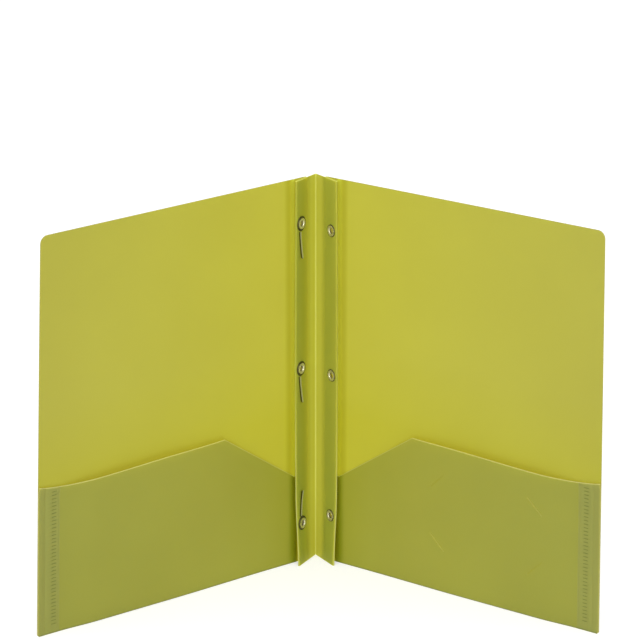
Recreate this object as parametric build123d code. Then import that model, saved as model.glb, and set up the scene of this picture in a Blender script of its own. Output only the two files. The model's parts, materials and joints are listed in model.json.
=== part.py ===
from build123d import *
import os
from math import sqrt

# A two pocket folder of plastic sheet, standing open with a prong fastener in its spine.
# Millimetres, +Z up, the reader sits at -Y and the spine's centre crease is at the back.
# One sheet runs cover, cover fold, fin backing, fin edge, spine strip, centre crease, and back out
# to the other cover. A fin is the spine sheet folded double, and the eyelets hold its two layers.

# Sheet
SHEET = 0.5
HEIGHT = 291.0
COVER_WIDTH = 228.0  # cover fold to outer edge
STRIP_WIDTH = 25.0  # centre crease to the near edge of a fin
BACKING_WIDTH = 13.0  # near edge of a fin to the cover fold
TOP_CORNER_RADIUS = 7.0
BOTTOM_CORNER_CUT = 1.5

# Folds as they stand at rest
SPINE_ANGLE = 67.0  # between the two fins
LEFT_COVER_ANGLE = 20.2  # between a fin and its cover, along the pocket
RIGHT_COVER_ANGLE = 19.4
LEFT_TOP_ANGLE = 16.0  # and at the cover's top, as the sheet twists above the pocket
RIGHT_TOP_ANGLE = 17.2
CREASE_RADIUS = 0.5  # round of the centre crease
FIN_GAP = 0.4  # between the two layers of a fin
COVER_GAP = 0.9  # between a fin and its cover when they lie parallel
TURN_CLEARANCE = 0.1  # between a round fold and the sheet that turns about it

# Pockets
POCKET_HEIGHT = 113.0
POCKET_GAP = 2.0  # between a cover and its pocket flap, along the bottom fold and the weld
POCKET_BULGE = 7.0  # how much further the flap's top edge bows out between them
POCKET_FIN_CLEARANCE = 1.5  # flap's inner end to the fin's near edge, folder closed
CUT_RUN = 60.5  # slanted inner corner of the flap, along the cover
CUT_DROP = 42.0  # and down it
CUT_ROUND = 3.0
SCOOP_DEPTH = 1.6  # dip of the flap's top edge, between its peak and the outer edge

# Side weld of a pocket, a ladder of short rungs
WELD_MARGIN = 17.0  # outer edge to where the flap bows away from the cover
WELD_FROM_EDGE = 11.0  # outer edge to the middle of the rungs
RUNG_LENGTH = 5.0
RUNG_HEIGHT = 1.2
RUNG_PITCH = 2.7
WELD_END_MARGIN = 4.0

# Slits that hold the corners of a card on the right pocket
CARD_WIDTH = 89.0
CARD_HEIGHT = 51.0
CARD_FROM_EDGE = 90.5  # outer edge to the card's middle
CARD_MIDDLE_HEIGHT = 61.5
SLIT_LENGTH = 17.0
SLIT_WIDTH = 0.5
SLIT_INSET = 3.0  # card's corner to the slit
SLIT_ANGLE = 45.0

# Eyelets, three down each fin
EYELET_SPACING = 107.95
EYELET_FROM_EDGE = 6.2  # near edge of the fin to an eyelet's middle
EYELET_BORE = 4.2
EYELET_WALL = 0.3
EYELET_FIT = 0.1  # barrel to the hole round it
FLANGE_DIAMETER = 7.9
FLANGE_THICKNESS = 0.45
CLENCH_DIAMETER = 7.2
CLENCH_THICKNESS = 0.45
LIP_SHARE = 0.45  # rounding of a flange, as a share of its thickness

# Prongs, each a ring under a left eyelet and a leg that bends up at the ring's edge
PRONG_THICKNESS = 0.4
RING_DIAMETER = 10.6
LEG_WIDTH = 3.0
LEG_LENGTH = 20.0  # bend to tip
LEG_CLEARANCE = 0.1  # leg to the strip it lies on, and to its ring

# Worked-out places in a fin: X from crease to near edge, Y from the strip's inner face to its cover
backing_face = SHEET + FIN_GAP
fin_back = backing_face + SHEET
edge_radius = SHEET + FIN_GAP / 2
edge_centre = STRIP_WIDTH - edge_radius
fold_x = STRIP_WIDTH - BACKING_WIDTH
fold_y = fin_back + COVER_GAP / 2
fold_radius = COVER_GAP / 2 + SHEET
eyelet_x = STRIP_WIDTH - EYELET_FROM_EDGE
eyelet_heights = {
    "top": HEIGHT / 2 + EYELET_SPACING,
    "middle": HEIGHT / 2,
    "bottom": HEIGHT / 2 - EYELET_SPACING,
}
barrel_radius = EYELET_BORE / 2 + EYELET_WALL
hole_radius = barrel_radius + EYELET_FIT

# The bend of a leg clears its ring, and its middle meets the right eyelet when the leg stands up
bend_radius = PRONG_THICKNESS / 2
bend_offset = RING_DIAMETER / 2 + LEG_CLEARANCE + bend_radius
leg_y = -(LEG_CLEARANCE + bend_radius)
leg_direction = {"top": -1, "middle": -1, "bottom": 1}  # which way the tip points, up or down

# Worked-out places in a cover: X from fold to outer edge, Y away from the reader
cover_face = COVER_GAP / 2
flap_back = cover_face - POCKET_GAP
flap_front = flap_back - SHEET
pocket_radius = POCKET_GAP / 2 + SHEET
pocket_start = BACKING_WIDTH + POCKET_FIN_CLEARANCE
weld_start = COVER_WIDTH - WELD_MARGIN

# Frames of the right fin and of a cover on it; the left ones are mirror images of such frames
fin_frame = Location((0, 0, 0), (0, 0, SPINE_ANGLE / 2 - 90))
cover_angle = {"left": LEFT_COVER_ANGLE, "right": RIGHT_COVER_ANGLE}
top_angle = {"left": LEFT_TOP_ANGLE, "right": RIGHT_TOP_ANGLE}
cover_frame = {
    side: fin_frame * Location((fold_x, fold_y, 0), (0, 0, angle)) for side, angle in cover_angle.items()
}


def panel(outline, low, high):
    """Sheet with an outline in X and Z, from one distance along Y to another."""
    return extrude(Plane.XZ.offset(-high) * outline, amount=high - low)


def box_outline(x_low, x_high, z_low, z_high):
    """A rectangle between two places along X and two heights."""
    middle = Pos((x_low + x_high) / 2, (z_low + z_high) / 2)
    return middle * Rectangle(x_high - x_low, z_high - z_low)


def upright(radius, x, y):
    """A round rod of the folder's full height."""
    return Pos(x, y, 0) * Cylinder(radius, HEIGHT, align=(Align.CENTER, Align.CENTER, Align.MIN))


def half_ring(outer, inner):
    """The section of a fold: the half of a ring that lies at positive X."""
    return Circle(outer) - Circle(inner) - box_outline(-outer, 0, -outer, outer)


def eyelet_holes(heights):
    """Holes through a layer of a fin, one for each eyelet."""
    return [Pos(eyelet_x, z) * Circle(hole_radius) for z in heights]


def spine_strip(heights, crease_clearance):
    """The inner layer of a fin, from the centre crease to the fin's edge."""
    outline = box_outline(0, edge_centre, 0, HEIGHT) - eyelet_holes(heights)
    return panel(outline, 0, SHEET) - upright(CREASE_RADIUS + crease_clearance, 0, 0)


def fin_backing(heights):
    """The outer layer of a fin, from its edge to the cover fold."""
    outline = box_outline(fold_x, edge_centre, 0, HEIGHT) - eyelet_holes(heights)
    return panel(outline, backing_face, fin_back) - upright(fold_radius, fold_x, fold_y)


def fin_edge():
    """The fold at the near edge, where the sheet turns right back on itself."""
    section = Pos(edge_centre, edge_radius) * half_ring(edge_radius, FIN_GAP / 2)
    return extrude(section, amount=HEIGHT)


def corner_waste():
    """What the round top corner of a cover leaves off a square one."""
    x, z = COVER_WIDTH - TOP_CORNER_RADIUS, HEIGHT - TOP_CORNER_RADIUS
    square = box_outline(x, COVER_WIDTH + SHEET, z, HEIGHT + SHEET)
    return panel(square - Pos(x, z) * Circle(TOP_CORNER_RADIUS), -TOP_CORNER_RADIUS, TOP_CORNER_RADIUS)


def cover_panel(twist):
    """The cover: flat along its pocket, then twisted, until its top edge is turned by an angle."""
    outline = box_outline(0, COVER_WIDTH, pocket_radius, POCKET_HEIGHT)
    outer_bottom = outline.vertices().group_by(Axis.X)[-1].sort_by(Axis.Y)[0]
    flat = panel(chamfer(outer_bottom, BOTTOM_CORNER_CUT), cover_face, cover_face + SHEET)
    section = box_outline(0, COVER_WIDTH, cover_face, cover_face + SHEET)
    turn = Rot(0, 0, twist)
    twisted = loft([Pos(0, 0, POCKET_HEIGHT) * section, Pos(0, 0, HEIGHT) * turn * section], ruled=True)
    sheet = flat + (twisted - turn * corner_waste())
    return sheet - upright(fold_radius + TURN_CLEARANCE, 0, 0)


def bowed_edge(face):
    """The flap's line across the cover at its top, bowed towards the reader."""
    middle = ((pocket_start + weld_start) / 2, face - POCKET_BULGE)
    return ThreePointArc((pocket_start, face), middle, (weld_start, face))


def bowed_sheet():
    """The flap's free part, straight along the bottom fold and bowed along its top edge."""
    front, back = bowed_edge(flap_front), bowed_edge(flap_back)
    ends = Line(front @ 0, back @ 0) + Line(front @ 1, back @ 1)
    top = Pos(0, 0, POCKET_HEIGHT) * make_face(front + back + ends)
    bottom = Pos(0, 0, pocket_radius) * box_outline(pocket_start, weld_start, flap_front, flap_back)
    return loft([bottom, top], ruled=True)


def pocket_flap(slits):
    """The pocket's front, with a scooped top, a slanted inner corner and any slits for a card."""
    peak = (pocket_start + CUT_RUN, POCKET_HEIGHT)
    outer_top = (COVER_WIDTH, POCKET_HEIGHT)
    scoop = ((peak[0] + outer_top[0]) / 2, POCKET_HEIGHT - SCOOP_DEPTH)
    sides = Polyline(
        peak,
        (pocket_start, POCKET_HEIGHT - CUT_DROP),
        (pocket_start, pocket_radius),
        (COVER_WIDTH - BOTTOM_CORNER_CUT, pocket_radius),
        (COVER_WIDTH, pocket_radius + BOTTOM_CORNER_CUT),
        outer_top,
    )
    outline = make_face(sides + ThreePointArc(outer_top, scoop, peak))
    outline = fillet(outline.vertices().sort_by_distance(peak)[0], CUT_ROUND)
    margin = panel(
        box_outline(weld_start, COVER_WIDTH, pocket_radius, POCKET_HEIGHT), flap_front, flap_back
    )
    return (bowed_sheet() + margin) & panel(outline - slits, flap_front - POCKET_BULGE, flap_back)


def card_slits():
    """Four slits, each across one corner of the card."""
    reach = SLIT_INSET / sqrt(2)
    slits = []
    for across in (-1, 1):
        for up in (-1, 1):
            x = COVER_WIDTH - CARD_FROM_EDGE + across * (CARD_WIDTH / 2 - reach)
            z = CARD_MIDDLE_HEIGHT + up * (CARD_HEIGHT / 2 - reach)
            slit = Rectangle(SLIT_LENGTH, SLIT_WIDTH)
            slits.append(Pos(x, z) * Rot(0, 0, -across * up * SLIT_ANGLE) * slit)
    return slits


def pocket_fold():
    """The bottom fold, where the cover's sheet turns up into the pocket flap."""
    middle = Pos((cover_face + flap_back) / 2, pocket_radius)
    section = middle * (Rot(0, 0, -90) * half_ring(pocket_radius, POCKET_GAP / 2))
    length = COVER_WIDTH - BOTTOM_CORNER_CUT - pocket_start
    return extrude(Plane.YZ.offset(pocket_start) * section, amount=length)


def pocket_weld():
    """The rungs that join the flap to the cover near the outer edge."""
    span = POCKET_HEIGHT - pocket_radius - 2 * WELD_END_MARGIN - RUNG_HEIGHT
    count = int(span // RUNG_PITCH) + 1
    first = pocket_radius + WELD_END_MARGIN + (span - (count - 1) * RUNG_PITCH) / 2
    middle = COVER_WIDTH - WELD_FROM_EDGE
    rungs = []
    for n in range(count):
        low = first + n * RUNG_PITCH
        rung = box_outline(middle - RUNG_LENGTH / 2, middle + RUNG_LENGTH / 2, low, low + RUNG_HEIGHT)
        rungs.append(panel(rung, flap_back, cover_face))
    return Compound(rungs)


def rolled(diameter, low, thickness):
    """The section of a rolled flange, from the bore out to its diameter."""
    width = (diameter - EYELET_BORE) / 2
    middle = Pos(EYELET_BORE / 2 + width / 2, low + thickness / 2)
    return middle * RectangleRounded(width, thickness, LIP_SHARE * thickness)


def eyelet(height, front):
    """A rolled metal eyelet through both layers, its flange seated at a distance along Y."""
    flange = rolled(FLANGE_DIAMETER, front - FLANGE_THICKNESS, FLANGE_THICKNESS)
    clench = rolled(CLENCH_DIAMETER, fin_back, CLENCH_THICKNESS)
    barrel_low = front - FLANGE_THICKNESS / 2
    barrel_high = fin_back + CLENCH_THICKNESS / 2
    barrel = box_outline(EYELET_BORE / 2, barrel_radius, barrel_low, barrel_high)
    return Pos(eyelet_x, 0, height) * revolve(flange + clench + barrel, Axis.Y)


def prong_ring(height):
    """The flat ring of a prong, held between its eyelet's flange and the strip."""
    ring = Circle(RING_DIAMETER / 2) - Circle(hole_radius)
    return panel(Pos(eyelet_x, height) * ring, -PRONG_THICKNESS, 0)


def prong_leg(bend_height, direction):
    """The leg of a prong, lying along the strip, with its round bend on the turning axis."""
    straight = LEG_LENGTH - LEG_WIDTH / 2
    tip = Pos(eyelet_x, bend_height + direction * straight) * Circle(LEG_WIDTH / 2)
    ends = sorted((bend_height, bend_height + direction * straight))
    blade = box_outline(eyelet_x - LEG_WIDTH / 2, eyelet_x + LEG_WIDTH / 2, *ends) + tip
    bend = Pos(eyelet_x, leg_y, bend_height) * Rot(0, 90, 0) * Cylinder(bend_radius, LEG_WIDTH)
    return panel(blade, leg_y - bend_radius, leg_y + bend_radius) + bend


# The left ring sits off the eyelet's height, by as much as its leg bends away from it
ring_heights = {k: z - leg_direction[k] * bend_offset for k, z in eyelet_heights.items()}

pieces = {"spine_crease": upright(CREASE_RADIUS, 0, 0)}
for side in ("left", "right"):
    is_left = side == "left"
    heights = ring_heights if is_left else eyelet_heights
    strip = spine_strip(heights.values(), 0 if is_left else TURN_CLEARANCE)
    on_fin = {
        f"{side}_spine_strip": strip,
        f"{side}_fin_backing": fin_backing(heights.values()),
        f"{side}_fin_edge": fin_edge(),
        f"{side}_cover_crease": upright(fold_radius, fold_x, fold_y),
    }
    for level, height in heights.items():
        on_fin[f"{side}_{level}_eyelet"] = eyelet(height, -PRONG_THICKNESS if is_left else 0)
        if is_left:
            on_fin[f"{level}_prong_ring"] = prong_ring(height)
            on_fin[f"{level}_prong_leg"] = prong_leg(eyelet_heights[level], leg_direction[level])
    on_cover = {
        f"{side}_cover_panel": cover_panel(top_angle[side] - cover_angle[side]),
        f"{side}_pocket_flap": pocket_flap([] if is_left else card_slits()),
        f"{side}_pocket_fold": pocket_fold(),
        f"{side}_pocket_weld": pocket_weld(),
    }
    placed = {name: fin_frame * piece for name, piece in on_fin.items()}
    placed |= {name: cover_frame[side] * piece for name, piece in on_cover.items()}
    if is_left:
        placed = {name: mirror(piece, about=Plane.YZ) for name, piece in placed.items()}
    pieces |= placed

# The origin is the middle of the footprint, at the height that the folder stands on
footprint = Compound(list(pieces.values())).bounding_box()
to_origin = Pos(-footprint.center().X, -footprint.center().Y, -footprint.min.Z)

os.makedirs("parts", exist_ok=True)
for name, piece in pieces.items():
    export_step(to_origin * piece, f"parts/{name}.step")
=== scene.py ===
import json
from math import cos, pi, radians, sin, sqrt

import bmesh
import bpy
import numpy as np
from mathutils import Matrix, Vector


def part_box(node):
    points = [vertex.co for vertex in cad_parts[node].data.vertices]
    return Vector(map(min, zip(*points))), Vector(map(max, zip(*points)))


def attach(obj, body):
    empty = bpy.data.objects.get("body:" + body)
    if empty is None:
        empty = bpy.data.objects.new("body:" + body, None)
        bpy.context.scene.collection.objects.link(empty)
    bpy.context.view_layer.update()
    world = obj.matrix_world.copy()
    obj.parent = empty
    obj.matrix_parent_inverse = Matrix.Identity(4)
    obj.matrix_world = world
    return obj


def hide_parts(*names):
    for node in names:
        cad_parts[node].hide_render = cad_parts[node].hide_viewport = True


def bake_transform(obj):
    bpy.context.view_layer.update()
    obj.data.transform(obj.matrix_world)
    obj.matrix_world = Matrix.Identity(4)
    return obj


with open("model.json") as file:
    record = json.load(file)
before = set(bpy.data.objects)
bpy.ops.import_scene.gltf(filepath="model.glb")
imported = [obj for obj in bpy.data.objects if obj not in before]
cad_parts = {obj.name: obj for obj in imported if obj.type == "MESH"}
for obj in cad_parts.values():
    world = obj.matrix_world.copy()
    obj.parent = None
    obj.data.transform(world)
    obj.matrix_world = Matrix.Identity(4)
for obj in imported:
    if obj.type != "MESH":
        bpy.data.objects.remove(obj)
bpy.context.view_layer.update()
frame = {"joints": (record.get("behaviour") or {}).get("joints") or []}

# A two pocket folder of translucent plastic sheet, standing open. Metres, +Z up, the reader at -Y.
# Each fin and cover has flat coordinates of its own, and fin_point and cover_point bend them into place.

SIDES = {"left": -1, "right": 1}
LEVELS = ("top", "middle", "bottom")
joints = {joint["name"]: joint for joint in frame["joints"]}
crease_place = Vector(joints["spine_fold"]["pos_m"])
fold_place = {side: Vector(joints[f"{side}_cover_fold"]["pos_m"]) for side in SIDES}

# Sheet
SHEET = 0.0005
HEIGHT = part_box("spine_crease")[1].z
COVER_WIDTH = 0.228
SPINE_HALF_ANGLE = radians(33.5)
COVER_ANGLE = radians(37.9)  # cover to the X axis, seen from above
COVER_TWIST = {"left": radians(2.65), "right": radians(1.4)}  # lean of a cover's top and bottom corners
FIN_BOW = radians(2.2)  # the fins stand this much wider at mid height
FLARE_HEIGHT = 0.055  # and pull together below this
FLARE_ANGLE = radians(3.9)
CORNER_RADIUS = 0.0055  # of a cover's top corner
CORNER_CUT = 0.0015  # off its bottom corner

# A fin's middle surface, X from the crease and Y outwards
STRIP_MIDDLE = 0.00025
BACKING_MIDDLE = 0.00115
FIN_TURN = 0.0243
FOLD_X, FOLD_Y = 0.012, 0.00185
FOLD_RADIUS = 0.0007
FOLD_REACH = 0.0018  # the fold's round comes this far towards the crease
BACKING_LIFT = {"left": 0.0005, "right": 0.0002}  # the backing leaves the strip near its fold
BACKING_LIFT_RUN = 0.0035
CREASE_RADIUS = 0.0003
CREASE_SHEET = 0.0003
STRIP_TURN_CELLS = 2  # of those round a fin's near edge, the ones that look like its strip
TOP_MARK = 0.0005  # height of the painted highlight on the cut edge at a fin's top
CREASE_MARK = 0.0009  # pale width of the scored line on each strip

# Pockets, X from the cover's fold and Z up
COVER_MIDDLE = 0.0007
POCKET_START = 0.0075
POCKET_STEP = 0.0003  # run in which the cover's foot rises to the pocket's fold
SLANT_START = {"left": 0.0095, "right": 0.0105}
SLANT_FOOT, SLANT_SLOPE = 0.0679, 0.687
PEAK_HEIGHT = {"left": 0.1121, "right": 0.1130}
PEAK_ROUND = 0.00012
FALL_START, FALL_END = {"left": 0.112, "right": 0.100}, 0.205  # the top edge falls between these
OUTER_HEIGHT = 0.1098
TURN_UP_START, TURN_UP = 0.200, 0.0030  # and turns up again to the outer edge
POCKET_TURN = 0.00125  # round of the bottom fold
POCKET_GAP, PRESSED_GAP = 0.002, 0.0002  # behind the flap, in its middle and at its ends
OPEN_START, OPEN_RUN = 0.03, 0.09  # the gap opens over this run
CLOSE_RUN = 0.03  # and closes over this one, up to the weld
BULGE_START = 0.0145
POCKET_BULGE = 0.0022
BULGE_SKEW = 1.6  # more than 1 puts the bow's middle nearer the outer edge
LIP_FLARE, LIP_REACH = 0.0008, 0.007  # the flap's free edge stands off a little
LIP_START, LIP_RUN = 0.06, 0.03
RIM = 0.0005  # height of the painted highlight on the flap's free edge

# Slits for the corners of a card, in the right flap
CARD_TO_EDGE, CARD_HEIGHT = 0.0905, 0.0615  # the card's middle, from the cover's outer and bottom edges
CARD_HALF_WIDTH, CARD_HALF_HEIGHT = 0.0425, 0.0255
SLIT_INSET = 0.003  # card's corner to the slit
SLIT_HALF_LENGTH, SLIT_HALF_WIDTH = 0.0085, 0.0002
SLIT_DEPTH = 0.02

# Weld
WELD_START = 0.211
RUNGS = 38
RUNG_PITCH = 0.0027
RUNG_HEIGHT = 0.0012
FIRST_RUNG = 0.0067  # foot of the lowest rung
RUNG_FROM = {"left": 0.2136, "right": 0.2152}
RUNG_LENGTH = 0.0036
RUNG_FLOOR = 0.3 * RUNG_HEIGHT  # half height of a rung where it is deepest
WELD_LINES = (0.2116, 0.2226)
WELD_DEPTH = 0.00022
LINE_DEPTH = WELD_DEPTH / 2
MARK_SLOPE = 0.0003  # run of a pressed mark's sides

# Eyelets, by their radii, and prongs
EYELET_X = 0.0188
BORE = 0.0021
BARREL = BORE + 0.0003  # outside of the barrel
HOLE = 0.0026
FLANGE = 0.0045
CLENCH = 0.0036
LIP, CLENCH_LIP = 0.0006, 0.0003  # heights of the rolled flange and the clench
LIP_SHAPE = 0.7  # less than 1 makes the roll fuller
PETALS, PETAL_DEPTH, PETAL_SHAPE = 6, 0.00018, 6  # splits of the crimped clench
PETAL_FROM = 1.2 * BORE  # outwards of this
FIN_BACK = 0.0014
RING = 0.0053
RING_DRAW, RING_DRAW_SHAPE = 0.0003, 8  # the ring is drawn out towards its leg
PRONG = 0.0004
PLATE_EASE = 0.3  # rounding of a plate's edge, as a share of its thickness
LEG_THICKNESS = 0.9 * PRONG
LEG_Y = -0.0003
LEG_LENGTH = 0.020
LEG_GAP = 0.0002  # clear of the ring as the leg bends
LEG_ROOT = 0.0023
LEG_HALF_WIDTH = 0.0012
LEG_NECK = 0.006
LEG_SKEW = 0.0016  # the root lies this much nearer the fin's near edge than the tip
LEG_LIFT = 0.0010
LEG_CROWN = 0.00012
SHEEN_CELLS = 4  # of those across a leg, the ones given the painted sheen; the rest are in painted shade
SHADED_RIM_CELLS = 3  # of those across a flange, the outer ones in painted shade
bend_heights = {level: joints[f"{level}_prong_bend"]["pos_m"][2] for level in LEVELS}

# Meshes: steps along the sheets, and points in a round
COVER_FINE = 0.03  # the cover is finer this near its fold
COVER_FINE_STEP, COVER_STEP, COVER_ROWS = 0.003, 0.006, 51
FLAP_END_STEP, FLAP_STEP, FLAP_ROWS = 0.001, 0.004, 26
PEAK_REACH, PEAK_STEP = 0.003, 0.0006
FLARE_STEP, FIN_STEP = 0.004, 0.008
STRIP_STEP, BACKING_STEP, LEG_STEP = 0.002, 0.001, 0.001
FOLD_POINTS, TURN_POINTS, ROLL_POINTS, LEG_POINTS = 9, 11, 10, 7
HOLE_POINTS, EYELET_POINTS, RING_POINTS = 32, 48, 64
HOLE_REACH = (-0.002, 0.003)  # through the strip and its backing
SHARP_ANGLE = radians(40)
PLACE_DIGITS = 7  # places that round alike are one
TINY = 1e-6  # slack where places are compared
LEAST_AREA, LEAST_LENGTH = 1e-9, 1e-12  # keep a root and a division safe
BOX_FACES = [(0, 1, 2, 3), (7, 6, 5, 4), (0, 4, 5, 1), (1, 5, 6, 2), (2, 6, 7, 3), (3, 7, 4, 0)]


def smooth(t):
    """A soft step from 0 to 1."""
    t = np.clip(t, 0, 1)
    return t * t * (3 - 2 * t)


def fin_point(side, x, y, z):
    """A point of a fin: x from the crease along the strip, y outwards, z up."""
    sign = SIDES[side]
    half = SPINE_HALF_ANGLE + FIN_BOW * sin(pi * z / HEIGHT) - FLARE_ANGLE * smooth(1 - z / FLARE_HEIGHT)
    px = sign * (x * sin(half) + y * cos(half))
    py = -x * cos(half) + y * sin(half)
    return crease_place + Vector((px, py, z))


def cover_point(side, x, y, z):
    """A point of a cover: x from its fold to the outer edge, y away from the reader, z up."""
    sign = SIDES[side]
    angle = COVER_ANGLE + COVER_TWIST[side] * (2 * z / HEIGHT - 1)
    px = sign * (x * cos(angle) + y * sin(angle))
    py = -x * sin(angle) + y * cos(angle)
    return fold_place[side] + Vector((px, py, z))


def unit_rows(v):
    return v / np.maximum(np.linalg.norm(v, axis=-1, keepdims=True), LEAST_LENGTH)


def tangents(points, axis):
    """The direction of a grid along one of its axes, at each of its points."""
    steps = unit_rows(np.diff(points, axis=axis))
    first = np.take(steps, [0], axis=axis)
    last = np.take(steps, [-1], axis=axis)
    before = np.concatenate([first, steps], axis=axis)
    after = np.concatenate([steps, last], axis=axis)
    return unit_rows(before + after)


def new_piece(name, verts, faces, materials, zones=None):
    """A mesh object with smooth faces turned outwards, sharp corners and a material for each face."""
    mesh = bpy.data.meshes.new(name)
    mesh.from_pydata([tuple(v) for v in verts], [], faces)
    shape = bmesh.new()
    shape.from_mesh(mesh)
    if shape.calc_volume(signed=True) < 0:
        mesh.flip_normals()
    shape.free()
    for material in materials:
        mesh.materials.append(material)
    if zones is not None:
        mesh.polygons.foreach_set("material_index", zones)
    mesh.polygons.foreach_set("use_smooth", [True] * len(mesh.polygons))
    mesh.set_sharp_from_angle(angle=SHARP_ANGLE)
    mesh.update()
    piece = bpy.data.objects.new(name, mesh)
    bpy.context.scene.collection.objects.link(piece)
    return piece


def sheet_piece(name, rows, materials, thickness=SHEET, zone=lambda i, j: 0):
    """A closed sheet about a grid of middle points. zone gives each cell's material; the rim's is EDGE."""
    middle = np.array([[tuple(p) for p in row] for row in rows], float)
    n, m = middle.shape[:2]
    normal = unit_rows(np.cross(tangents(middle, 0), tangents(middle, 1)))
    half = normal * thickness / 2
    verts = np.concatenate([(middle + half).reshape(-1, 3), (middle - half).reshape(-1, 3)])
    far = n * m
    faces, zones = [], []
    for i in range(n - 1):
        for j in range(m - 1):
            a, b, c, d = i * m + j, (i + 1) * m + j, (i + 1) * m + j + 1, i * m + j + 1
            faces += [(a, b, c, d), (far + d, far + c, far + b, far + a)]
            zones += [zone(i, j)] * 2
    loop = [(0, j) for j in range(m)] + [(i, m - 1) for i in range(1, n)]
    loop += [(n - 1, j) for j in range(m - 2, -1, -1)] + [(i, 0) for i in range(n - 2, 0, -1)]
    ring = [i * m + j for i, j in loop]
    for a, b in zip(ring, ring[1:] + ring[:1]):
        faces.append((a, b, far + b, far + a))
        zones.append(EDGE)
    return new_piece(name, verts, faces, materials, zones)


def cut(piece, cutters):
    """Takes the cutters' solids out of a piece and removes them."""
    for cutter in cutters:
        modifier = piece.modifiers.new("cut", "BOOLEAN")
        modifier.operation = "DIFFERENCE"
        modifier.solver = "EXACT"
        modifier.object = cutter
    bpy.context.view_layer.update()
    graph = bpy.context.evaluated_depsgraph_get()
    mesh = bpy.data.meshes.new_from_object(piece.evaluated_get(graph))
    piece.modifiers.clear()
    piece.data = mesh
    for cutter in cutters:
        bpy.data.objects.remove(cutter)
    mesh.set_sharp_from_angle(angle=SHARP_ANGLE)


def spread(low, high, step):
    """Places from low to high, about a step apart."""
    return np.linspace(low, high, max(2, int(round((high - low) / step)) + 1))


def merged(*groups):
    """The places of all the groups, in order and once each."""
    return np.unique(np.round(np.concatenate([np.asarray(g, float) for g in groups]), PLACE_DIGITS))


def around(count):
    """Angles of a full turn."""
    return np.arange(count) * 2 * pi / count


# Materials

PASSED_SHARE = 0.62  # of the light that the sheet scatters
SHEET_COLOUR, SHEET_GLOW = (0.475, 0.556, 0.106), (0.785, 0.669, 0.137)  # scattered back and passed through
SHEET_ROUGHNESS, SHEET_GRAIN = 0.42, 0.12
CLOUD_DARK, CLOUD_PALE = 0.965, 1.03  # the sheet's soft unevenness
GLOSS_SPREAD = 0.06  # and that of its roughness
MARK_DARK, MARK_SMOOTH, MARK_ROUGH = 0.8, 0.08, 0.12  # rubbing marks of the metal
PAINTED_LIGHT_REACH = 0.2  # length of the ramps of painted light and shade

# Painted light and shade on the sheet, by distance from the centre crease: the fins are brightened a little,
# the covers carry a painted band of light and shadow beside the fins, and painted shade darkens them towards
# their outer edges
SHEET_PAINTED_LIGHT = [
    (0.0150, (1.025, 1.055, 0.78)),
    (0.0157, (1.180, 1.290, 1.25)),
    (0.0177, (1.070, 1.120, 0.75)),
    (0.0184, (0.960, 0.950, 0.52)),
    (0.0200, (0.920, 0.920, 0.54)),
    (0.0214, (0.970, 0.975, 0.72)),
    (0.0226, (1.025, 1.040, 0.87)),
    (0.0245, (1.022, 1.025, 0.92)),
    (0.1000, (0.976, 0.975, 0.98)),
    (0.1900, (0.926, 0.920, 1.03)),
]
# Painted shade on the pockets, by distance from the centre crease: a painted shadow of the fin over the
# flap's inner end, and darker towards the outer edge
FLAP_PAINTED_SHADE = [
    (0.0135, (0.80, 0.84, 0.15)),
    (0.0178, (0.78, 0.82, 0.20)),
    (0.0205, (0.94, 0.945, 0.60)),
    (0.0400, (0.965, 0.97, 0.80)),
    (0.0700, (0.977, 0.975, 0.91)),
    (0.1900, (0.904, 0.898, 0.96)),
]
# Painted light and shade on the strips: they darken softly towards the doubled parts of the fins, a painted
# soft shadow of the backing behind them
STRIP_PAINTED_SHADE = {
    "left": [
        (0.0024, (1.03, 1.08, 0.95)),
        (0.0033, (1.04, 1.09, 1.00)),
        (0.0046, (0.96, 1.00, 0.78)),
        (0.0053, (0.96, 0.985, 0.74)),
        (0.0067, (1.15, 1.13, 0.61)),
        (0.0089, (1.05, 1.06, 0.55)),
        (0.0133, (1.025, 1.055, 0.80)),
    ],
    "right": [
        (0.0024, (1.03, 1.07, 1.05)),
        (0.0036, (1.02, 1.05, 1.02)),
        (0.0049, (0.935, 0.96, 0.80)),
        (0.0057, (0.915, 0.95, 0.72)),
        (0.0070, (1.06, 1.085, 0.76)),
        (0.0107, (1.07, 1.09, 0.77)),
        (0.0128, (1.10, 1.115, 0.86)),
    ],
}
# And painted light and shade by height: a painted highlight makes the fins' near edges paler near the
# bottom, painted shade darkens the fins' backings there, and a painted shadow of the flaps makes the covers
# richer just above the pockets
EDGE_PAINTED_HIGHLIGHT = [(0.0500, (1.0, 1.0, 1.0)), (0.1400, (0.80, 0.80, 0.42)), (0.1900, (0.78, 0.78, 0.40))]
BACKING_PAINTED_SHADE = [(0.0200, (0.63, 0.66, 0.62)), (0.0900, (0.93, 0.94, 0.93)), (0.1400, (1.0, 1.0, 1.0))]
COVER_PAINTED_SHADE = [(0.1150, (1.0, 1.0, 0.74)), (0.1300, (1.0, 1.0, 0.84)), (0.1700, (1.0, 1.0, 1.0))]


def node_material(name):
    material = bpy.data.materials.new(name)
    material.use_nodes = True
    material.node_tree.nodes.clear()
    return material, material.node_tree.nodes, material.node_tree.links


def tint_node(nodes):
    """A node that multiplies two colours, A and B."""
    tinted = nodes.new("ShaderNodeMix")
    tinted.data_type = "RGBA"
    tinted.blend_type = "MULTIPLY"
    tinted.inputs["Factor"].default_value = 1
    return tinted


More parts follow.
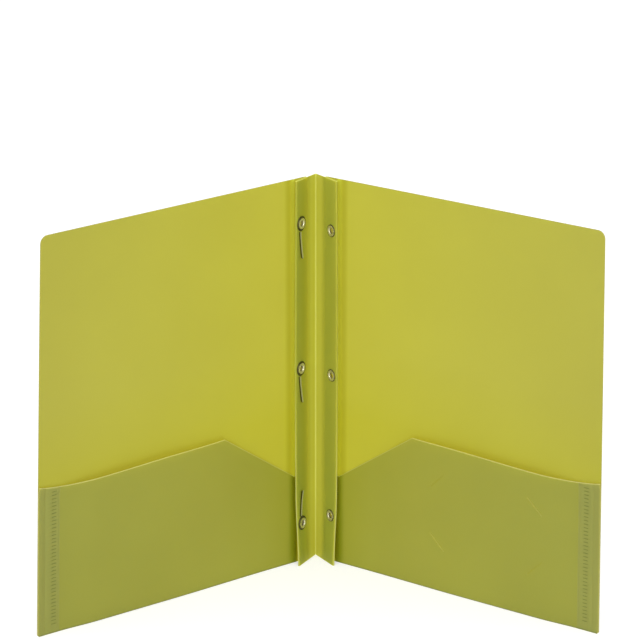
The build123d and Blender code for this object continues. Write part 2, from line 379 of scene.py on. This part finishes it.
def painted_light_ramp(nodes, links, parts, along, painted_tones):
    """Painted light and shade by distance from the centre crease, along X, or by height, along Z."""
    offset = nodes.new("ShaderNodeMath")
    offset.operation = "SUBTRACT"
    offset.inputs[1].default_value = crease_place.x if along == "X" else 0
    distance = nodes.new("ShaderNodeMath")
    distance.operation = "ABSOLUTE"
    share = nodes.new("ShaderNodeMath")
    share.operation = "DIVIDE"
    share.inputs[1].default_value = PAINTED_LIGHT_REACH
    fade = nodes.new("ShaderNodeValToRGB")
    first, last = fade.color_ramp.elements
    for element, (reach, tint) in ((first, painted_tones[0]), (last, painted_tones[-1])):
        element.position = reach / PAINTED_LIGHT_REACH
        element.color = (*tint, 1)
    for reach, tint in painted_tones[1:-1]:
        fade.color_ramp.elements.new(reach / PAINTED_LIGHT_REACH).color = (*tint, 1)
    links.new(parts.outputs[along], offset.inputs[0])
    links.new(offset.outputs["Value"], distance.inputs[0])
    links.new(distance.outputs["Value"], share.inputs[0])
    links.new(share.outputs["Value"], fade.inputs["Fac"])
    return fade.outputs["Color"]


def plastic_material(name, reflected, passed, roughness, grain, across=SHEET_PAINTED_LIGHT, upward=None):
    """Thin plastic that scatters light back and lets some through, with a satin grain."""
    material, nodes, links = node_material(name)
    output = nodes.new("ShaderNodeOutputMaterial")
    mix = nodes.new("ShaderNodeMixShader")
    mix.inputs[0].default_value = PASSED_SHARE
    surface = nodes.new("ShaderNodeBsdfPrincipled")
    surface.inputs["Specular IOR Level"].default_value = 0.22
    through = nodes.new("ShaderNodeBsdfTranslucent")
    place = nodes.new("ShaderNodeTexCoord")
    cloud = nodes.new("ShaderNodeTexNoise")
    cloud.inputs["Scale"].default_value = 14
    cloud.inputs["Detail"].default_value = 3
    tone = nodes.new("ShaderNodeValToRGB")
    tone.color_ramp.elements[0].position = 0.3
    tone.color_ramp.elements[1].position = 0.7
    tone.color_ramp.elements[0].color = (*[c * CLOUD_DARK for c in reflected], 1)
    tone.color_ramp.elements[1].color = (*[c * CLOUD_PALE for c in reflected], 1)
    parts = nodes.new("ShaderNodeSeparateXYZ")
    glow = nodes.new("ShaderNodeRGB")
    glow.outputs["Color"].default_value = (*passed, 1)
    fine = nodes.new("ShaderNodeTexNoise")
    fine.inputs["Scale"].default_value = 1500
    fine.inputs["Detail"].default_value = 4
    gloss = nodes.new("ShaderNodeMapRange")
    gloss.inputs["To Min"].default_value = roughness - GLOSS_SPREAD
    gloss.inputs["To Max"].default_value = roughness + GLOSS_SPREAD
    bump = nodes.new("ShaderNodeBump")
    bump.inputs["Strength"].default_value = grain
    bump.inputs["Distance"].default_value = 0.0001
    links.new(place.outputs["Object"], cloud.inputs["Vector"])
    links.new(place.outputs["Object"], fine.inputs["Vector"])
    links.new(cloud.outputs["Fac"], tone.inputs["Fac"])
    links.new(place.outputs["Object"], parts.inputs["Vector"])
    colours = [tone.outputs["Color"], glow.outputs["Color"]]
    # Painted light and shade: ramps by distance from the crease and by height multiply both colours
    for along, painted_tones in (("X", across), ("Z", upward)):
        if painted_tones is None:
            continue
        tint = painted_light_ramp(nodes, links, parts, along, painted_tones)
        for k, colour in enumerate(colours):
            tinted = tint_node(nodes)
            links.new(colour, tinted.inputs["A"])
            links.new(tint, tinted.inputs["B"])
            colours[k] = tinted.outputs["Result"]
    links.new(colours[0], surface.inputs["Base Color"])
    links.new(colours[1], through.inputs["Color"])
    links.new(fine.outputs["Fac"], gloss.inputs["Value"])
    links.new(gloss.outputs["Result"], surface.inputs["Roughness"])
    links.new(fine.outputs["Fac"], bump.inputs["Height"])
    links.new(bump.outputs["Normal"], surface.inputs["Normal"])
    links.new(surface.outputs["BSDF"], mix.inputs[1])
    links.new(through.outputs["BSDF"], mix.inputs[2])
    links.new(mix.outputs["Shader"], output.inputs["Surface"])
    return material


def sheet_material(name, across=SHEET_PAINTED_LIGHT, upward=None):
    """The folder's plain sheet, with this painted light and shade."""
    return plastic_material(name, SHEET_COLOUR, SHEET_GLOW, SHEET_ROUGHNESS, SHEET_GRAIN, across, upward)


def metal_material(name, colour, roughness):
    """Plated steel with fine rubbing marks."""
    material, nodes, links = node_material(name)
    output = nodes.new("ShaderNodeOutputMaterial")
    surface = nodes.new("ShaderNodeBsdfPrincipled")
    surface.inputs["Metallic"].default_value = 0.85
    place = nodes.new("ShaderNodeTexCoord")
    marks = nodes.new("ShaderNodeTexNoise")
    marks.inputs["Scale"].default_value = 900
    marks.inputs["Detail"].default_value = 5
    tone = nodes.new("ShaderNodeValToRGB")
    tone.color_ramp.elements[0].color = (*[c * MARK_DARK for c in colour], 1)
    tone.color_ramp.elements[1].color = (*colour, 1)
    gloss = nodes.new("ShaderNodeMapRange")
    gloss.inputs["To Min"].default_value = roughness - MARK_SMOOTH
    gloss.inputs["To Max"].default_value = roughness + MARK_ROUGH
    links.new(place.outputs["Object"], marks.inputs["Vector"])
    links.new(marks.outputs["Fac"], tone.inputs["Fac"])
    links.new(tone.outputs["Color"], surface.inputs["Base Color"])
    links.new(marks.outputs["Fac"], gloss.inputs["Value"])
    links.new(gloss.outputs["Result"], surface.inputs["Roughness"])
    links.new(surface.outputs["BSDF"], output.inputs["Surface"])
    return material


# The cover, flap, backing and strip looks carry the painted light and shade of the ramps above
cover_look = sheet_material("sheet_cover", upward=COVER_PAINTED_SHADE)
flap_look = sheet_material("sheet_flap", FLAP_PAINTED_SHADE)
backing_look = sheet_material("sheet_backing", upward=BACKING_PAINTED_SHADE)
strip_looks = {side: sheet_material(f"sheet_{side}_strip", painted_tones) for side, painted_tones in STRIP_PAINTED_SHADE.items()}
# Painted highlight: the pale cut edges of the sheets, the flaps' rims, the fins' tops and the slits
edge_highlight_look = plastic_material("sheet_edge_highlight", (0.67, 0.74, 0.27), (0.93, 0.85, 0.36), 0.35, 0.05)
cut_look = plastic_material("sheet_cut", (0.42, 0.47, 0.17), (0.68, 0.62, 0.20), 0.4, 0.05)
crease_look = plastic_material("sheet_crease", (0.70, 0.78, 0.36), (0.92, 0.84, 0.46), 0.32, 0.05)
# Painted highlight, fainter, along the flap's slanted edge
slant_highlight_look = plastic_material("sheet_slant_highlight", (0.58, 0.67, 0.22), (0.87, 0.78, 0.28), 0.35, 0.08)
# Painted highlight along the round of the fins' near edges, paler near the bottom
fin_edge_highlight_look = plastic_material(
    "sheet_fin_edge_highlight", (0.61, 0.70, 0.25), (0.90, 0.82, 0.32), 0.35, 0.08, None, EDGE_PAINTED_HIGHLIGHT
)
# Painted shade: the pocket's bottom fold is a darker copy of the sheet
fold_shade_look = plastic_material(
    "sheet_fold_shade", (0.370, 0.445, 0.117), (0.612, 0.535, 0.150), SHEET_ROUGHNESS, SHEET_GRAIN, FLAP_PAINTED_SHADE
)
pressed_look = plastic_material("sheet_pressed", (0.445, 0.525, 0.135), (0.765, 0.66, 0.168), 0.46, 0.15)
weld_look = plastic_material("sheet_weld", (0.26, 0.33, 0.077), (0.56, 0.50, 0.105), 0.5, 0.2)
eyelet_looks = {
    "left": metal_material("eyelet_nickel", (0.90, 0.88, 0.62), 0.2),
    # Painted shade: the right eyelets are a darker copy of the same nickel, a little rougher
    "right": metal_material("eyelet_nickel_painted_shade", (0.78, 0.74, 0.52), 0.24),
}
# Painted shade: a dark outline round each eyelet's flange
rim_shade_look = metal_material("eyelet_rim_shade", (0.12, 0.115, 0.03), 0.45)
# Painted shade on the eyelets' bore walls
bore_shade_look = metal_material("eyelet_bore_shade", (0.45, 0.42, 0.25), 0.45)
# Painted shade and dark reflection: the prongs' rings, the dark side of each leg and their edges are near
# black
prong_shade_look = metal_material("prong_steel_painted_shade", (0.11, 0.108, 0.03), 0.38)
# Painted sheen: the lit side of each prong's leg
prong_sheen = metal_material("prong_sheen", (0.80, 0.80, 0.62), 0.38)

# A sheet's zones, in the order of its looks. A fin has its strip's and its backing's looks besides
SHEET_LOOKS = [
    flap_look, edge_highlight_look, crease_look, slant_highlight_look, fin_edge_highlight_look, fold_shade_look, pressed_look, weld_look
]
FLAP, EDGE, CREASE, SLANT_HIGHLIGHT, FIN_EDGE, FOLD, PRESSED, WELD, STRIP, BACKING = range(10)
FOLD_CELLS = range(FOLD_POINTS // 2, FOLD_POINTS - 1)  # of the bottom fold, the ones under the flap, in painted shade


def finish_piece(piece, body, slot, *nodes):
    """Puts a finished piece on its body, in place of these nodes."""
    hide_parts(*nodes)
    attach(piece, body)


# Covers


def cover_top(x):
    """Height of the cover's top edge, with a round outer corner."""
    into = max(0.0, x - (COVER_WIDTH - CORNER_RADIUS))
    return HEIGHT - CORNER_RADIUS + sqrt(max(0.0, CORNER_RADIUS**2 - into**2))


def cover_sheet(side):
    turn = np.linspace(0, pi / 2, FOLD_POINTS)
    corner = COVER_WIDTH - CORNER_RADIUS * (1 - np.sin(turn))
    step = [POCKET_START - POCKET_STEP, POCKET_START]
    near_fold = spread(0, COVER_FINE, COVER_FINE_STEP)
    beyond = spread(COVER_FINE, COVER_WIDTH - CORNER_RADIUS, COVER_STEP)
    shares = np.linspace(0, 1, COVER_ROWS)
    rows = []
    for x in merged(near_fold, beyond, corner, step):
        low = POCKET_TURN if x > POCKET_START - TINY else 0.0
        high = cover_top(x)
        rows.append([cover_point(side, x, COVER_MIDDLE, low + f * (high - low)) for f in shares])
    piece = sheet_piece(f"{side}_cover_sheet", rows, [cover_look, cut_look])
    finish_piece(piece, f"{side}_cover", "sheet", f"{side}_cover_panel")


# Pockets


def peak_place(side):
    """Where the slant meets the top edge, along the cover."""
    return SLANT_START[side] + (PEAK_HEIGHT[side] - SLANT_FOOT) / SLANT_SLOPE


def pocket_top(side, x):
    """Height of the flap's top edge: a level end, a slant up to the peak, then a slow fall and a turn up."""
    slant = SLANT_FOOT + SLANT_SLOPE * max(0.0, x - SLANT_START[side])
    fallen = smooth((x - FALL_START[side]) / (FALL_END - FALL_START[side]))
    turned = max(0.0, x - TURN_UP_START) / (COVER_WIDTH - TURN_UP_START)
    fall = PEAK_HEIGHT[side] - (PEAK_HEIGHT[side] - OUTER_HEIGHT) * fallen + TURN_UP * turned**2
    return (slant + fall) / 2 - sqrt(((slant - fall) / 2) ** 2 + PEAK_ROUND**2)


def pocket_gap(side, x, z):
    """Clear width of the pocket behind the flap."""
    opening = smooth((x - OPEN_START) / OPEN_RUN) * smooth((WELD_START - x) / CLOSE_RUN)
    base = PRESSED_GAP + (POCKET_GAP - PRESSED_GAP) * opening
    across = (max(0.0, x - BULGE_START) / (WELD_START - BULGE_START)) ** BULGE_SKEW
    rise = max(0.0, z - POCKET_TURN) / PEAK_HEIGHT[side]
    near_top = smooth((z - pocket_top(side, x) + LIP_REACH) / LIP_REACH)
    lip = LIP_FLARE * near_top * smooth((x - LIP_START) / LIP_RUN)
    return base + POCKET_BULGE * max(0.0, 4 * across * (1 - across)) * rise + lip


def pocket_column(side, x, heights, press=lambda x, z: 0):
    """One line of the pocket's sheet, from the cover round the bottom fold and up the flap."""
    points = []
    depth = pocket_gap(side, x, 0) + SHEET
    for a in np.linspace(0, pi, FOLD_POINTS)[:-1]:
        z = SHEET / 2 + (POCKET_TURN - SHEET / 2) * (1 - sin(a))
        reach = min(x, COVER_WIDTH - max(0.0, CORNER_CUT - z))
        points.append(cover_point(side, reach, COVER_MIDDLE - depth * (1 - cos(a)) / 2, z))
    for z in heights:
        y = COVER_MIDDLE - SHEET - pocket_gap(side, x, z) + press(x, z)
        points.append(cover_point(side, x, y, z))
    return points


def slit_cutters(side):
    """Solids of the four slits that hold a card's corners."""
    middle = COVER_WIDTH - CARD_TO_EDGE
    reach = SLIT_INSET / sqrt(2)
    cutters = []
    for across in (-1, 1):
        for up in (-1, 1):
            x = middle + across * (CARD_HALF_WIDTH - reach)
            z = CARD_HEIGHT + up * (CARD_HALF_HEIGHT - reach)
            along = Vector((1, -across * up)).normalized()
            beside = Vector((-along.y, along.x))
            corners = []
            for depth in (-SLIT_DEPTH, 0.0):
                for p, q in ((-1, -1), (1, -1), (1, 1), (-1, 1)):
                    flat = Vector((x, z)) + along * p * SLIT_HALF_LENGTH + beside * q * SLIT_HALF_WIDTH
                    corners.append(cover_point(side, flat.x, depth, flat.y))
            cutters.append(new_piece("slit", corners, BOX_FACES, SHEET_LOOKS, [EDGE] * len(BOX_FACES)))
    return cutters


def pocket_sheet(side):
    slant, peak = SLANT_START[side], peak_place(side)
    before, after = peak - PEAK_REACH, peak + PEAK_REACH
    xs = merged(
        spread(POCKET_START, slant, FLAP_END_STEP), spread(slant, before, FLAP_STEP),
        spread(before, after, PEAK_STEP), spread(after, WELD_START, FLAP_STEP),
    )
    rows = []
    for x in xs:
        top = pocket_top(side, x)
        rows.append(pocket_column(side, x, [*np.linspace(POCKET_TURN, top - RIM, FLAP_ROWS), top]))
    rim_cell = len(rows[0]) - 2

    def zone(i, j):
        if j in FOLD_CELLS:
            return FOLD
        if j != rim_cell or xs[i] < slant:
            return FLAP
        # the top cells carry a painted highlight, fainter along the slant
        return SLANT_HIGHLIGHT if xs[i] < peak else EDGE

    piece = sheet_piece(f"{side}_pocket_sheet", rows, SHEET_LOOKS, zone=zone)
    if side == "right":
        cut(piece, slit_cutters(side))
    finish_piece(piece, f"{side}_cover", "sheet", f"{side}_pocket_flap", f"{side}_pocket_fold")


def weld_strip(side):
    """The flap's outer margin, with a ladder of pressed rungs between two pressed lines."""
    middles = FIRST_RUNG + RUNG_HEIGHT / 2 + RUNG_PITCH * np.arange(RUNGS)
    half = RUNG_HEIGHT / 2
    rung_z = np.concatenate([middles + d for d in (-half, -RUNG_FLOOR, RUNG_FLOOR, half)])
    line_x = np.concatenate([np.array(WELD_LINES) + d for d in (-MARK_SLOPE, 0, MARK_SLOPE)])
    rung_from = RUNG_FROM[side]
    rung_to = rung_from + RUNG_LENGTH
    rung_x = [rung_from - MARK_SLOPE, rung_from, rung_to, rung_to + MARK_SLOPE]
    xs = merged([WELD_START, COVER_WIDTH], line_x, rung_x)

    def on_rung(x, z):
        near = np.abs(middles - z).min()
        return rung_from - TINY < x < rung_to + TINY and near < RUNG_FLOOR + TINY

    def press(x, z):
        on_line = np.abs(np.array(WELD_LINES) - x).min() < MARK_SLOPE / 2
        return WELD_DEPTH if on_rung(x, z) else LINE_DEPTH * on_line

    lows = merged([POCKET_TURN], rung_z)
    rows = []
    for x in xs:
        top = pocket_top(side, x)
        rows.append(pocket_column(side, x, [*lows, top - RIM, top], press))
    rim_cell = len(rows[0]) - 2
    turns = len(rows[0]) - len(lows) - 2

    def zone(i, j):
        if j in FOLD_CELLS:
            return FOLD
        if j == rim_cell:
            return EDGE
        k = j - turns
        middle_z = (lows[k] + lows[k + 1]) / 2 if 0 <= k < len(lows) - 1 else 0
        return WELD if on_rung((xs[i] + xs[i + 1]) / 2, middle_z) else PRESSED

    piece = sheet_piece(f"{side}_weld_strip", rows, SHEET_LOOKS, zone=zone)
    finish_piece(piece, f"{side}_cover", "sheet", f"{side}_pocket_weld")


# Fins and folds


def fin_heights():
    low = spread(0, FLARE_HEIGHT, FLARE_STEP)
    return merged(low, spread(FLARE_HEIGHT, HEIGHT - TOP_MARK, FIN_STEP), [HEIGHT])


def hole_cutters(side, heights):
    """Rods through a fin, one for each eyelet."""
    cutters = []
    count = HOLE_POINTS
    for z in heights:
        ring = [(EYELET_X + HOLE * cos(a), z + HOLE * sin(a)) for a in around(count)]
        verts = [fin_point(side, x, y, h) for y in HOLE_REACH for x, h in ring]
        faces = [tuple(range(count))[::-1], tuple(range(count, 2 * count))]
        faces += [(k, (k + 1) % count, count + (k + 1) % count, count + k) for k in range(count)]
        cutters.append(new_piece("hole", verts, faces, SHEET_LOOKS, [EDGE] * len(faces)))
    return cutters


def fin_sheet(side, heights):
    """A fin's strip from the crease, its turn at the near edge, and its backing to the cover's fold."""
    radius = (BACKING_MIDDLE - STRIP_MIDDLE) / 2
    path = [(0.0, STRIP_MIDDLE)]
    path += [(x, STRIP_MIDDLE) for x in spread(CREASE_MARK, FIN_TURN, STRIP_STEP)]
    turns = np.linspace(-pi / 2, pi / 2, TURN_POINTS)[1:-1]
    turn_y = STRIP_MIDDLE + radius
    path += [(FIN_TURN + radius * cos(a), turn_y + radius * sin(a)) for a in turns]
    straight = len(path) - len(turns)
    for x in spread(FOLD_X, FIN_TURN, BACKING_STEP)[::-1]:
        lift = BACKING_LIFT[side] * smooth((FOLD_X + BACKING_LIFT_RUN - x) / BACKING_LIFT_RUN)
        path.append((x, BACKING_MIDDLE + lift))
    rows = [[fin_point(side, x, y, z) for z in fin_heights()] for x, y in path]

    def zone(i, j):
        if i == 0:
            return CREASE
        # the top cells carry the cut edge's painted highlight
        if j == len(rows[0]) - 2 and path[i][0] > FOLD_X:
            return EDGE
        # the strip takes its painted shade, the near edge's round its painted highlight, the backing its
        # painted shade
        if i < straight + STRIP_TURN_CELLS:
            return STRIP
        return FIN_EDGE if i < straight + len(turns) else BACKING

    looks = [*SHEET_LOOKS, strip_looks[side], backing_look]
    piece = sheet_piece(f"{side}_fin_sheet", rows, looks, zone=zone)
    cut(piece, hole_cutters(side, heights))
    nodes = [f"{side}_{name}" for name in ("spine_strip", "fin_edge", "fin_backing")]
    finish_piece(piece, f"{side}_fin", "sheet", *nodes)


def cover_fold(side):
    """The sheet's turn from a fin's backing to its cover."""
    opened = pi / 2 - SPINE_HALF_ANGLE - COVER_ANGLE
    fin_radius = FOLD_RADIUS - BACKING_LIFT[side]
    rows = []
    for share in np.linspace(0, 1, TURN_POINTS):
        turn = share * (pi - opened)
        row = []
        for z in fin_heights():
            on_fin = fin_point(side, FOLD_X - FOLD_REACH * sin(turn), FOLD_Y - fin_radius * cos(turn), z)
            back = pi - opened - turn
            on_cover = cover_point(side, -FOLD_REACH * sin(back), FOLD_RADIUS * cos(back), z)
            row.append(on_fin.lerp(on_cover, share))
        rows.append(row)
    piece = sheet_piece(f"{side}_cover_fold", rows, SHEET_LOOKS, zone=lambda i, j: CREASE)
    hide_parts(f"{side}_cover_crease")
    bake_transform(piece)


def spine_fold():
    """The scored line between the two strips."""
    rows = []
    for turn in np.linspace(pi - SPINE_HALF_ANGLE, SPINE_HALF_ANGLE, FOLD_POINTS):
        reach = Vector((CREASE_RADIUS * cos(turn), CREASE_RADIUS * sin(turn), 0))
        rows.append([crease_place + reach + Vector((0, 0, z)) for z in fin_heights()])
    piece = sheet_piece("spine_fold", rows, SHEET_LOOKS, CREASE_SHEET, lambda i, j: CREASE)
    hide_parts("spine_crease")
    reach = (CREASE_RADIUS - CREASE_SHEET / 2) * cos(SPINE_HALF_ANGLE)
    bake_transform(piece)


# Eyelets and prongs


def rolled(outer):
    """Radii across a roll from the bore to its outer edge, each with its angle."""
    return [((BORE + outer) / 2 - (outer - BORE) / 2 * cos(a), a) for a in np.linspace(0, pi, ROLL_POINTS)]


def eyelet(side, level, z, front):
    """A rolled eyelet: a domed flange, a barrel and a crimped clench at the back."""
    profile = [(r, front - LIP * sin(a) ** LIP_SHAPE) for r, a in rolled(FLANGE)]
    profile += [(BARREL, front), (BARREL, FIN_BACK)]
    clench_from = len(profile)
    profile += [(r, FIN_BACK + CLENCH_LIP * sin(a) ** LIP_SHAPE) for r, a in rolled(CLENCH)[::-1]]
    size = len(profile)
    count = EYELET_POINTS
    verts, faces = [], []
    for angle in around(count):
        split = PETAL_DEPTH * max(0.0, cos(PETALS * angle)) ** PETAL_SHAPE
        for n, (r, y) in enumerate(profile):
            drawn = r - split * (n >= clench_from and r > PETAL_FROM)
            verts.append(fin_point(side, EYELET_X + drawn * cos(angle), y, z + drawn * sin(angle)))
    for k in range(count):
        for n in range(size):
            a, b = k * size + n, k * size + (n + 1) % size
            c, d = (k + 1) % count * size + (n + 1) % size, (k + 1) % count * size + n
            faces.append((a, b, c, d))
    looks = [eyelet_looks[side], rim_shade_look, bore_shade_look]
    # Painted shade: the flange's outer cells and the bore's wall take the darker looks
    darker = {ROLL_POINTS - 2 - n: 1 for n in range(SHADED_RIM_CELLS)}
    darker[size - 1] = 2  # the bore's wall, in painted shade
    zones = [darker.get(n, 0) for n in range(size)] * count
    piece = new_piece(f"{side}_{level}_rolled_eyelet", verts, faces, looks, zones)
    finish_piece(piece, f"{side}_fin", "eyelet", f"{side}_{level}_eyelet")


def ring_plate(name, outline, inner, low, high):
    """A flat plate on the left strip between an outline and an inner one, with a softly rounded edge."""
    count = len(outline)
    ease = (high - low) * PLATE_EASE
    layers = [(0.0, low + ease), (ease, low), (ease, high), (0.0, high - ease)]
    middle = np.mean(outline, axis=0)
    verts, faces = [], []
    for inset, y in layers:
        for p in outline:
            away = unit_rows(np.array(p) - middle)
            q = np.array(p) - away * inset
            verts.append(fin_point("left", q[0], y, q[1]))
    for y in (high, low):
        verts += [fin_point("left", x, y, h) for x, h in inner]
    order = [1, 0, 3, 2, 4, 5]  # of the loops, round the plate's section
    for first, second in zip(order, order[1:] + order[:1]):
        for k in range(count):
            n = (k + 1) % count
            faces.append((first * count + k, first * count + n, second * count + n, second * count + k))
    # the whole ring is in the prongs' painted shade
    return new_piece(name, verts, faces, [prong_shade_look])


def prong_ring(level, z, direction):
    """The ring under a left eyelet, drawn out a little towards its leg."""
    outline, inner = [], []
    for a in around(RING_POINTS):
        r = RING + RING_DRAW * max(0.0, sin(a) * direction) ** RING_DRAW_SHAPE
        outline.append((EYELET_X + r * cos(a), z + r * sin(a)))
        inner.append((EYELET_X + HOLE * cos(a), z + HOLE * sin(a)))
    piece = ring_plate(f"{level}_prong_washer", outline, inner, -PRONG, 0.0)
    finish_piece(piece, "left_fin", "prong", f"{level}_prong_ring")


def prong_leg(level, z, direction):
    """A leg that narrows from its bend, bows off the strip and ends in a round tip."""
    tip_start = LEG_LENGTH - LEG_HALF_WIDTH
    tip = LEG_LENGTH - LEG_HALF_WIDTH * (1 - np.sin(np.linspace(0, pi / 2, LEG_POINTS)))
    rows = []
    for along in merged(spread(LEG_GAP, tip_start, LEG_STEP), tip):
        into_tip = max(0.0, along - tip_start)
        half = LEG_HALF_WIDTH + (LEG_ROOT - LEG_HALF_WIDTH) * (1 - smooth(along / LEG_NECK))
        half = min(half, sqrt(max(LEG_HALF_WIDTH**2 - into_tip**2, LEAST_AREA)))
        lift = LEG_LIFT * (along / LEG_LENGTH) ** 2
        middle = EYELET_X + LEG_SKEW * (1 - along / LEG_LENGTH)
        row = []
        for across in np.linspace(-1, 1, LEG_POINTS):
            y = LEG_Y - lift - LEG_CROWN * (1 - across**2)
            row.append(fin_point("left", middle + across * half, y, z + direction * along))
        rows.append(row)

    def zone(i, j):
        # one side of the leg carries a painted sheen, the other painted shade
        return int(j >= SHEEN_CELLS)

    piece = sheet_piece(f"{level}_prong_blade", rows, [prong_sheen, prong_shade_look], LEG_THICKNESS, zone)
    finish_piece(piece, f"{level}_prong", "prong", f"{level}_prong_leg")


def eyelet_height(side, level):
    low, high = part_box(f"{side}_{level}_eyelet")
    return (low.z + high.z) / 2


for side in SIDES:
    cover_sheet(side)
    pocket_sheet(side)
    weld_strip(side)
    heights = {level: eyelet_height(side, level) for level in LEVELS}
    fin_sheet(side, heights.values())
    cover_fold(side)
    is_left = side == "left"
    for level, z in heights.items():
        eyelet(side, level, z, -PRONG if is_left else 0.0)
        if is_left:
            direction = 1 if bend_heights[level] > z else -1
            prong_ring(level, z, direction)
            prong_leg(level, bend_heights[level], direction)
spine_fold()

# Floor, light and camera

FLOOR_TONE, FLOOR_GLOW = 0.60, 0.48  # a lit table under the folder
FLOOR_REACH = 8.0
HORIZON_GLOW, ZENITH_GLOW = 0.18, 1.33
CAMERA_PLACE = crease_place + Vector((-0.0431, -1.7645, 0.7517))
CAMERA_PITCH = radians(17.874)
CAMERA_YAW = radians(1.501)
CAMERA_ROLL = radians(0.054)
CAMERA_LENS, CAMERA_SENSOR = 145.09, 36  # millimetres


def floor():
    material, nodes, links = node_material("floor")
    output = nodes.new("ShaderNodeOutputMaterial")
    surface = nodes.new("ShaderNodeBsdfDiffuse")
    surface.inputs["Color"].default_value = (FLOOR_TONE, FLOOR_TONE, FLOOR_TONE, 1)
    glow = nodes.new("ShaderNodeEmission")
    glow.inputs["Strength"].default_value = FLOOR_GLOW
    both = nodes.new("ShaderNodeAddShader")
    links.new(surface.outputs["BSDF"], both.inputs[0])
    links.new(glow.outputs["Emission"], both.inputs[1])
    links.new(both.outputs["Shader"], output.inputs["Surface"])
    corners = [(x * FLOOR_REACH, y * FLOOR_REACH, 0) for x, y in ((-1, -1), (1, -1), (1, 1), (-1, 1))]
    new_piece("floor", corners, [(0, 1, 2, 3)], [material])


def soft_light(name, place, size, power):
    """A square lamp that faces the folder."""
    lamp = bpy.data.lights.new(name, "AREA")
    lamp.energy = power
    lamp.size = size
    light = bpy.data.objects.new(name, lamp)
    light.location = place
    aim = Vector((0, 0, HEIGHT / 2)) - light.location
    light.rotation_euler = aim.to_track_quat("-Z", "Y").to_euler()
    bpy.context.scene.collection.objects.link(light)


def studio():
    """A sky that is brighter overhead, and two lamps beside the camera."""
    world = bpy.data.worlds.new("studio")
    world.use_nodes = True
    nodes, links = world.node_tree.nodes, world.node_tree.links
    background = nodes["Background"]
    background.inputs["Color"].default_value = (1, 1, 1, 1)
    direction = nodes.new("ShaderNodeTexCoord")
    parts = nodes.new("ShaderNodeSeparateXYZ")
    glow = nodes.new("ShaderNodeMapRange")
    glow.inputs["To Min"].default_value = HORIZON_GLOW
    glow.inputs["To Max"].default_value = ZENITH_GLOW
    links.new(direction.outputs["Generated"], parts.inputs["Vector"])
    links.new(parts.outputs["Z"], glow.inputs["Value"])
    links.new(glow.outputs["Result"], background.inputs["Strength"])
    bpy.context.scene.world = world
    soft_light("key", place=(-1.5, -2.7, 1.6), size=1.6, power=53)
    soft_light("fill", place=(1.5, -2.7, 1.6), size=1.6, power=40)
    bpy.context.scene.view_settings.view_transform = "Standard"


def camera():
    level = cos(CAMERA_PITCH)
    ahead = Vector((sin(CAMERA_YAW) * level, cos(CAMERA_YAW) * level, -sin(CAMERA_PITCH)))
    across = Vector((cos(CAMERA_YAW), -sin(CAMERA_YAW), 0))
    up = across.cross(ahead)
    turned_across = across * cos(CAMERA_ROLL) + up * sin(CAMERA_ROLL)
    turned_up = up * cos(CAMERA_ROLL) - across * sin(CAMERA_ROLL)
    data = bpy.data.cameras.new("camera")
    data.sensor_width = CAMERA_SENSOR
    data.lens = CAMERA_LENS
    view = bpy.data.objects.new("camera", data)
    turn = Matrix((turned_across, turned_up, -ahead)).transposed()
    view.matrix_world = Matrix.Translation(CAMERA_PLACE) @ turn.to_4x4()
    bpy.context.scene.collection.objects.link(view)
    bpy.context.scene.camera = view


floor()
studio()
camera()
